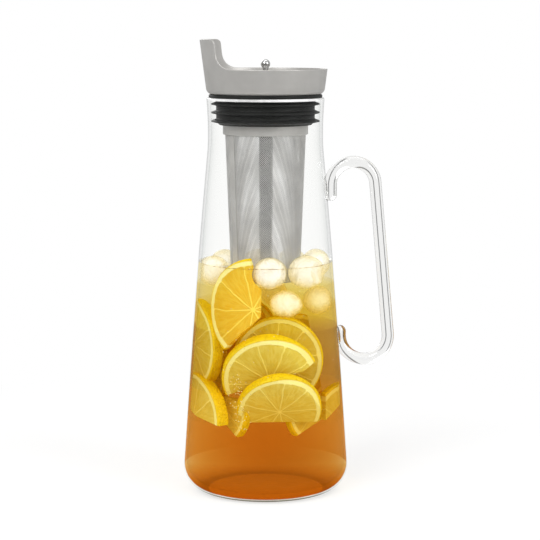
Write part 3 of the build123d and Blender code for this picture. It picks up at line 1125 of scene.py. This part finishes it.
def lemonFinish(kind):
    pulpLight, pulpDark, skinColour = lemon["kinds"][kind]
    wedgeTurn, skin = 2 * math.pi / lemon["segments"], lemon["skin"]
    material = startMaterial(kind + " lemon")
    place = put("Attribute", attribute_name="slicePlace").outputs["Vector"]
    across, up, deep = partsOf(place)
    # How far a point is inside the pulp of its segment
    radius = lengthOf(across, up)
    wobble = noise(place, 0.35, 3, 0.6)
    turns = timesPlus(maths("ARCTAN2", up, across), 1 / wedgeTurn, times(noise(place, 0.09, 3, 0.5), 0.25))
    wedge = maths("FRACT", turns)
    fromSkin = times(times(maths("MINIMUM", wedge, opposite(wedge)), radius), wedgeTurn)
    fromSkin = maths("SUBTRACT", fromSkin, spread(wobble, 0.3, 0.7, skin * 0.4, skin * 2.0))
    fromPith = maths("SUBTRACT", timesPlus(wobble, 1.6, lemon["pulp"] - 0.8), radius)
    inside = maths("SMOOTH_MIN", fromSkin, fromPith, lemon["corner"])
    pulp = step(maths("MINIMUM", inside, maths("SUBTRACT", radius, lemon["core"])), 0.0, 0.5)
    rind = step(radius, lemon["pith"] - 0.35, lemon["pith"] + 0.35)
    # Juice sacs run out from the middle
    sacPlace = {0: times(turns, 8.0), 1: times(radius, 0.17), 2: times(deep, 0.2)}
    sacPlace = put("CombineXYZ", sacPlace).outputs[0]
    sac = cells(sacPlace, 1.0, 0.35)
    shade = partsOf(put("TexVoronoi", {"Vector": sacPlace, "Scale": 1.0}).outputs["Color"])[0]
    fleck = noise(place, 2.2, 4, 0.6)
    wet = tint(timesPlus(shade, 0.5, times(fleck, 0.5)), pulpDark, pulpLight)
    wet = tint(step(sac, 0.42, 0.75), wet, pulpLight)
    fibre = tint(step(fleck, 0.55, 0.75), lemon["pithColour"], lemon["pithFibre"])
    flesh = tint(pulp, tint(step(fromPith, -0.2, 0.8), fibre, skinColour), wet)
    pore = cells(place, 0.75, 0.5)
    zest = tint(step(pore, 0.0, 0.5), lemon["rindDark"], lemon["rindColour"])
    height = times(timesPlus(sac, -0.5, times(fleck, 0.25)), pulp)
    height = timesPlus(pulp, -0.6, height)
    height = maths("ADD", height, times(step(pore, 0.1, 0.6), rind))
    normal = relief(height, 0.45 * mm, 0.8)
    body = milky(timesPlus(pulp, 0.18, 0.18), tint(rind, flesh, zest), normal)
    body = mixed(times(pulp, 0.14), body, clear(lemon["juice"]))
    finish(mixed(0.025, body, glossy(spread(fleck, 0.3, 0.7, 0.22, 0.4), Normal=normal)))
    return material


def bubbleFinish():
    material = startMaterial("air bubble")
    drift = noise(objectPlace(), 800, 2, 0.5)
    pale = matt(tint(drift, (0.96, 0.78, 0.30), (1, 0.90, 0.52)))
    body = mixed(spread(facingShare(), 0.0, 0.8, 0.8, 0.0), clear((1, 0.99, 0.96)), pale)
    finish(mixed(0.02, body, glossy(spread(drift, 0.3, 0.7, 0.25, 0.4))))
    return material


def drinkPlace(place):
    # Contents are placed as the camera sees them, so they are turned with it
    return Matrix.Rotation(math.radians(drink["turn"]), 3, "Z") @ Vector(place)


iceBalls = {
    # Place, then half the width, depth and height in mm. The curved wall makes a ball look wider than tall
    "frontLeft": ((-34.6, -6.0, 148.3), (10.6, 9.8, 10.0)),
    "frontMiddle": ((2.9, -33.6, 150.0), (11.5, 10.0, 10.4)),
    "frontRight": ((26.8, -21.5, 149.2), (12.1, 10.2, 11.0)),
    "lowMiddle": ((13.3, -31.5, 129.8), (11.2, 10.5, 9.3)),
    "lowRight": ((34.6, -7.5, 129.0), (10.0, 10.2, 9.4)),
    "right": ((33.6, 6.0, 152.0), (9.6, 9.6, 9.6)),
    "backLeft": ((-27.4, 19.5, 149.8), (10.2, 9.8, 9.8)),
    "backMiddle": ((-5.5, 33.6, 148.6), (10.6, 9.8, 9.8)),
    "backRight": ((17.6, 28.4, 149.6), (10.2, 9.8, 9.8)),
    "lowBack": ((5.0, 34.6, 128.5), (9.9, 9.9, 9.9)),
}
iceRoom = {
    # The strainer's way down when it is pulled out of its seat, how far the ice stays inside the glass, and
    # how far in front of a ball the fruit is cut away
    "strainer": 25.1, "low": 113.0, "wall": 2.3, "swell": 0.008, "cutter": 1.02, "sight": 14.0,
}


def makeBall(name, place, size, seed):
    piece = newPiece("ice_" + name, bpy.ops.mesh.primitive_ico_sphere_add, subdivisions=5, radius=mm)
    middle = drinkPlace(place)
    for vertex in piece.data.vertices:
        spot = Vector([along * half for along, half in zip(vertex.co, size)]) / mm
        waves = ((spot.x, 0.31), (spot.y, 0.37), (spot.z, 0.29))
        swell = sum(math.sin(along * rate + i * seed) for i, (along, rate) in enumerate(waves, 1))
        spot = drinkPlace(spot) * (1 + iceRoom["swell"] * swell) + middle
        # Ice that would touch the glass or stand in the strainer's way has melted back there
        across = math.hypot(spot.x, spot.y)
        held = min(max(across, iceRoom["strainer"]), wallRadius(spot.z, iceRoom["wall"]))
        spot.x *= held / across
        spot.y *= held / across
        vertex.co = spot * mm
    polish(piece, 60)
    return piece


def cuttingBalls(balls, reach):
    # A little larger than the balls. With a reach they also take away what would hide a ball from the camera
    toCamera = drinkPlace((0, -1, 0))
    cutters = [ownCopy(ball) for ball in balls]
    for cutter in cutters:
        middle = sum((vertex.co for vertex in cutter.data.vertices), Vector()) / len(cutter.data.vertices)
        for vertex in cutter.data.vertices:
            offset = (vertex.co - middle) * iceRoom["cutter"]
            vertex.co = middle + offset
            if offset.dot(toCamera) > 0:
                vertex.co += toCamera * reach * mm
    return joined(cutters)


def teaCorners(bottom, top):
    inset = drink["skinInset"]
    if bottom == drink["bottom"]:
        corners = skinPoints(bottom, inset, 0, top)
    else:
        corners = [(0, bottom, 0), (wallRadius(bottom, inset), bottom, 0)]
        height = bottom + 5
        while height < top - 8:
            corners.append((wallRadius(height, inset), height, 0))
            height += 6
    edge = wallRadius(top, inset)
    if top < drinkLevel:
        return corners + [(edge, top, 0), (0, top, 0)]
    # The top layer curls up where it wets the glass
    return corners + [
        (edge, top + 0.9, 0.1), (edge - 1.0, top + 0.25, 0.6), (edge - 3.2, top, 0.8),
        (edge - 8, top, 0), (edge - 18, top, 0), (0, top, 0),
    ]


def makeTea(balls):
    low = drink["bottom"]
    for i, (top, absorb, sideTint) in enumerate(drink["layers"]):
        piece = turnPiece("iced_tea_%d" % i, teaCorners(low, top), drink["columns"], False, carafe["arcTurn"])
        inLayer = [ball for ball in balls if max(v.co.z for v in ball.data.vertices) / mm > low]
        if inLayer:
            cutter = cuttingBalls(inLayer, 0)
            cut(piece, cutter)
            bpy.data.objects.remove(cutter)
        middles = [face.center / mm for face in piece.data.polygons]
        heights = [vertex.co.z / mm - drink["bottom"] for vertex in piece.data.vertices]
        across = [math.hypot(middle.x, middle.y) for middle in middles]
        edges = [wallRadius(middle.z, drink["skinInset"]) - 0.3 for middle in middles]
        skins = [float(m.z > 3 and far > edge) for m, far, edge in zip(middles, across, edges)]
        bases = [drink["baseTint"] * max(0.0, 1 - height / drink["baseHeight"]) ** 1.3 for height in heights]
        storeFloats(piece, "skin", skins, "FACE")
        storeFloats(piece, "top", [float(middle.z > drinkLevel - 0.05) for middle in middles], "FACE")
        storeFloats(piece, "base", bases)
        polish(piece, 40)
        hand(piece, teaFinish("amber tea %d" % i, absorb, sideTint), "carafe")
        low = top + drink["seam"]


def makeTeaLine():
    edge = wallRadius(drinkLevel, drink["skinInset"] + 1.5)
    level, sharp = drinkLevel, 0.05
    corners = [(edge - 0.3, level + 0.02, sharp), (edge, level - 0.1, sharp), (edge, level + 0.32, sharp)]
    hand(turnPiece("tea_line", corners, drink["columns"]), teaLineFinish(), "carafe")


slices = {
    # Finish, middle, radius, thickness, turn to the right, lean forward, roll, bend, cuts: side kept, where
    "topLeft": (
        "golden", (-7.4, -41.0, 127.4), 33.0, 5.6, -12, -4, 12, 42,
        ((-0.938, -0.346), -8.5), ((-1, 0), -4.5), ((-0.67, 0.74), -6.5),
    ),
    "middle": ("olive", (8.0, -26.5, 91.0), 30.0, 6.0, 6, 2, 25, 0, ((0.42, 0.907), -6.5)),
    "frontHalf": ("olive", (3.4, -33.0, 81.0), 31.5, 8.6, -4, 20, 8, 0, ((-0.35, 0.937), 0.0)),
    "lowFront": (
        "pale", (9.0, -32.0, 60.4), 28.0, 6.6, 4, 30, 30, 0,
        ((0, 1), -8.6), ((0.707, 0.707), -19.9),
    ),
    "leftMiddle": ("olive", (-45.0, -5.0, 99.4), 29.3, 8.0, -60, 0, 5, 0),
    "leftLow": ("pale", (-46.0, -15.0, 52.0), 29.0, 9.0, -50, 0, 40, 0, ((0.13, 0.99), 2.3)),
    "rightLow": ("pale", (51.0, -5.0, 45.0), 28.0, 6.0, 40, 0, 10, 0, ((-0.573, 0.819), 13.8), ((1, 0), -17)),
    "hangRight": (
        "pale", (35.0, -11.0, 60.2), 28.0, 6.0, 38, 0, 50, 0,
        ((-0.377, 0.926), -10.1), ((-1, 0), -3.3), ((0, -1), -4),
    ),
    "hangLeft": (
        "pale", (-26.0, -16.0, 60.0), 24.5, 6.0, -52, 0, 70, 0,
        ((0.496, 0.868), -9.0), ((0, -1), -5),
    ),
    "backTop": ("golden", (-18.0, 34.0, 100.0), 28.0, 6.0, 156, 2, 0, 0),
    "backRight": ("olive", (22.0, 30.0, 84.0), 30.0, 6.0, 212, 10, 20, 0),
    "backLow": ("pale", (-14.0, 36.0, 62.0), 30.0, 6.5, 172, 22, 35, 0, ((0, 1), -2.0)),
    "backLeft": ("olive", (-36.0, 12.0, 76.0), 28.0, 6.0, 112, 0, 15, 0),
}
# What a slice may fill, and the height of its middle above which it can meet the ice and the strainer
sliceRoom = {"top": 200.0, "gap": 0.2, "clear": 84.0, "columns": 72, "rings": 9, "rindRound": 1.3}


def storePlaces(piece, placed, turned, bend):
    # Every point's place in the flat, uncut slice, whatever has been done to it since
    back = placed.inverted()
    places = []
    for vertex in piece.data.vertices:
        spot = back @ vertex.co
        if bend:
            deep = spot.z + bend
            spot = Vector((math.atan2(spot.x, deep) * bend, spot.y, math.hypot(spot.x, deep) - bend))
        places.extend(turned @ (spot / mm))
    layer = piece.data.attributes.new("slicePlace", "FLOAT_VECTOR", "POINT")
    layer.data.foreach_set("vector", places)


def makeSlice(name, cutters, material, middle, radius, thickness, turn, lean, roll, bend, *cuts):
    half, rings, bend = thickness / 2, sliceRoom["rings"], bend * mm
    below = [(radius * k / rings, -half, 0) for k in range(rings)]
    above = [(across, half, 0) for across, low, sharp in below[::-1]]
    rind = [(radius, -half, sliceRoom["rindRound"]), (radius, half, sliceRoom["rindRound"])]
    corners = below + rind + above
    piece = turnPiece("lemon_" + name, corners, sliceRoom["columns"], False)
    for vertex in piece.data.vertices:
        angle = math.atan2(vertex.co.y, vertex.co.x)
        swell = 1 + 0.012 * math.sin(2 * angle + roll) + 0.006 * math.sin(5 * angle)
        vertex.co.x *= swell
        vertex.co.y *= swell
    for aim, where in cuts:
        aim = Vector((*aim, 0)).normalized()
        editMode(piece)
        bpy.ops.mesh.bisect(plane_co=aim * where * mm, plane_no=aim, use_fill=True, clear_inner=True)
        setMode("OBJECT")
    if bend:
        for vertex in piece.data.vertices:
            angle = vertex.co.x / bend
            deep = bend + vertex.co.z
            vertex.co.x = deep * math.sin(angle)
            vertex.co.z = deep * math.cos(angle) - bend
    spin = Matrix.Rotation(math.radians(turn), 4, "Z") @ Matrix.Rotation(math.radians(90 + lean), 4, "X")
    placed = Matrix.Rotation(math.radians(drink["turn"]), 4, "Z")
    placed = placed @ Matrix.Translation(Vector(middle) * mm) @ spin
    piece.matrix_world = placed
    applyAll(piece)
    room, *others = cutters
    cut(piece, room, "INTERSECT")
    if middle[2] > sliceRoom["clear"]:
        for cutter in others:
            cut(piece, cutter)
    storePlaces(piece, placed, Matrix.Rotation(math.radians(roll), 3, "Z") * (lemon["master"] / radius), bend)
    polish(piece, 50)
    hand(piece, material, "carafe")


def makeSlices(balls):
    top, low, across = sliceRoom["top"], iceRoom["low"], iceRoom["strainer"]
    corners = skinPoints(carafe["base"] + sliceRoom["gap"], drink["roomInset"], 0, top) + [(0, top, 0)]
    room = turnPiece("room", corners, drink["columns"], False, carafe["arcTurn"])
    inTheWay = cuttingBalls(balls, iceRoom["sight"])
    wayDown = turnPiece("way_down", [(0, low, 0), (across, low, 2), (across, top, 0), (0, top, 0)], 96, False)
    cutters = (room, inTheWay, wayDown)
    finishes = {kind: lemonFinish(kind) for kind in lemon["kinds"]}
    for name, (kind, *values) in slices.items():
        makeSlice(name, cutters, finishes[kind], *values)
    for cutter in cutters:
        bpy.data.objects.remove(cutter)


bubbles = {
    # Sizes and places in mm. One part rises in a column at the left, the others are spread over the front
    "count": 110, "inColumn": 60, "small": 0.28, "large": 0.42, "spread": 28.0, "low": 72.0, "high": 148.0,
    "columnAside": -19.5, "columnLean": 5.0, "columnWidth": 2.6, "columnTop": 82.0, "columnHeight": 32.0,
}


def makeBubbles():
    random.seed(11)
    look = bubbles
    first = newPiece("bubble", bpy.ops.mesh.primitive_ico_sphere_add, subdivisions=2, radius=1)
    copies = []
    for i in range(look["count"]):
        share = random.random()
        if i < look["inColumn"]:
            aside = look["columnAside"] + look["columnLean"] * share + random.gauss(0, look["columnWidth"])
            height = look["columnTop"] - look["columnHeight"] * share + random.gauss(0, 1.5)
        else:
            aside = random.uniform(-look["spread"], look["spread"])
            height = random.uniform(look["low"], look["high"])
        # Just inside the glass
        ahead = math.sqrt(max(wallRadius(height, 2.6) ** 2 - aside ** 2, 100)) - random.random() * 1.5
        bubble = ownCopy(first)
        bubble.scale = (random.uniform(look["small"], look["large"]) * mm,) * 3
        bubble.location = drinkPlace((aside, -ahead, height)) * mm
        copies.append(bubble)
    bpy.data.objects.remove(first)
    piece = rename(joined(copies), "air_bubbles")
    applyAll(piece)
    polish(piece, 60)
    hand(piece, bubbleFinish(), "carafe")


def makeDrink():
    ice = iceFinish(iceLook)
    balls = []
    for i, (name, values) in enumerate(iceBalls.items()):
        ball = makeBall(name, *values, i * 1.7)
        balls.append(hand(ball, ice, "carafe"))
    makeTea(balls)
    makeTeaLine()
    print("tea and ice made")
    makeSlices(balls)
    makeBubbles()
    print("lemon slices made")


if drink["show"]:
    makeDrink()


# Floor, lamps, world and camera

floor = {
    "glow": 0.66, "colour": 0.28, "mottle": 0.01, "plain": 0.78, "fadeStart": 0.16, "fadeEnd": 0.42,
    "radius": 0.7, "rings": 0.12,
}


def floorFinish():
    # Its shadow is kept near the object. Further out the floor runs into the white beyond it
    material = startMaterial("studio floor")
    place = objectPlace()
    grey, mottle = floor["colour"], floor["mottle"]
    colour = tint(noise(place, 9, 4, 0.6), [grey - mottle] * 3, [grey + mottle] * 3)
    near = added(matt(colour, Roughness=0.6), glowing(white, floor["glow"]))
    length = put("VectorMath", {0: place}, operation="LENGTH").outputs["Value"]
    far = step(length, floor["fadeStart"], floor["fadeEnd"])
    seen, glossyRay, bentRay = rays("Camera", "Glossy", "Transmission")
    others = mixed(either(glossyRay, bentRay), matt([floor["plain"]] * 3), mixed(far, near, clear(white)))
    finish(mixed(seen, others, mixed(far, near, glowing(white, 1.0))))
    return material


def makeFloor():
    circle = bpy.ops.mesh.primitive_circle_add
    piece = newPiece("studio_floor", circle, vertices=96, radius=floor["radius"], fill_type="NGON")
    editMode(piece, "FACE")
    bpy.ops.mesh.inset(thickness=floor["rings"])
    setMode("OBJECT")
    piece.data.materials.append(floorFinish())


makeFloor()

lamps = {
    # Place, aim, width, height, watts
    "key": ((-1.9, -3.1, 3.0), (0, 0, 0.15), 2.4, 2.4, 118),
    "fill": ((3.0, -2.2, 1.8), (0, 0, 0.15), 2.0, 2.4, 76),
    "top": ((0.2, 0.4, 3.4), (0, 0, 0.1), 2.6, 2.6, 25),
    "rear": ((-1.5, 3.2, 1.6), (0, 0, 0.12), 2.0, 2.0, 30),
}


def aimed(place, aim):
    return (Vector(aim) - Vector(place)).to_track_quat("-Z", "Y").to_euler()


def makeLamps():
    for name, (place, aim, width, height, watts) in lamps.items():
        deselectAll()
        bpy.ops.object.light_add(type="AREA", location=place)
        lamp = bpy.context.object
        lamp.name = name + " lamp"
        lamp.data.shape = "RECTANGLE"
        lamp.data.size = width
        lamp.data.size_y = height
        lamp.data.energy = watts
        lamp.rotation_euler = aimed(place, aim)


makeLamps()

studio = {
    "fill": 0.55, "front": 0.30, "side": 0.52, "bent": 0.92, "bentDark": 0.12, "bentSide": 0.22,
    # Bearings from behind the object, in radians: middle and width of the narrow bands, and where the wide
    # ones begin and end
    "bands": ((0.21, 0.10), (-0.42, 0.12)), "sideIn": (0.9, 1.6), "sideOut": (1.9, 2.5),
}


def makeWorld():
    # Cameras see plain white. What is mirrored or bent sees a pale studio, darker in front and in bands
    bpy.context.scene.world = startTree(bpy.data.worlds.new("studio"))
    east, north, above = partsOf(put("TexCoord").outputs["Generated"])
    mirrored = spread(times(north, -1.0), 0.25, 0.92, studio["side"], studio["front"])
    bearing = maths("ARCTAN2", east, north)
    bent = studio["bent"]
    for centre, width in studio["bands"]:
        off = maths("ABSOLUTE", maths("SUBTRACT", bearing, centre))
        bent = timesPlus(opposite(step(off, 0.0, width)), studio["bentDark"] - studio["bent"], bent)
    aside = maths("ABSOLUTE", bearing)
    side = maths("SUBTRACT", step(aside, *studio["sideIn"]), step(aside, *studio["sideOut"]))
    bent = times(bent, spread(side, 0, 1, 1.0, studio["bentSide"]))
    level = studio["fill"]
    for ray, seen in zip(rays("Glossy", "Transmission", "Camera"), (mirrored, bent, 1.0)):
        level = timesPlus(ray, maths("SUBTRACT", seen, level), level)
    put("OutputWorld", {"Surface": put("Background", {"Color": white, "Strength": level}).outputs[0]})


makeWorld()

camera = {"distance": 1.25, "height": 0.309, "aim": 0.148, "turn": 2.5, "aside": 0.00297, "lens": 126.2}


def makeCamera():
    turn = math.radians(camera["turn"])
    right = Vector((math.cos(turn), math.sin(turn), 0)) * camera["aside"]
    aim = Vector((0, 0, camera["aim"])) + right
    out = Vector((math.sin(turn), -math.cos(turn), 0)) * camera["distance"]
    place = out + Vector((0, 0, camera["height"])) + right
    data = bpy.data.cameras.new("camera")
    data.lens = camera["lens"]
    data.sensor_width = 36.0
    viewer = bpy.data.objects.new("camera", data)
    bpy.context.scene.collection.objects.link(viewer)
    viewer.location = place
    viewer.rotation_euler = aimed(place, aim)
    bpy.context.scene.camera = viewer


makeCamera()

bpy.context.scene.view_settings.view_transform = "Standard"
bpy.context.scene.cycles.transparent_max_bounces = 40
print("stage made")
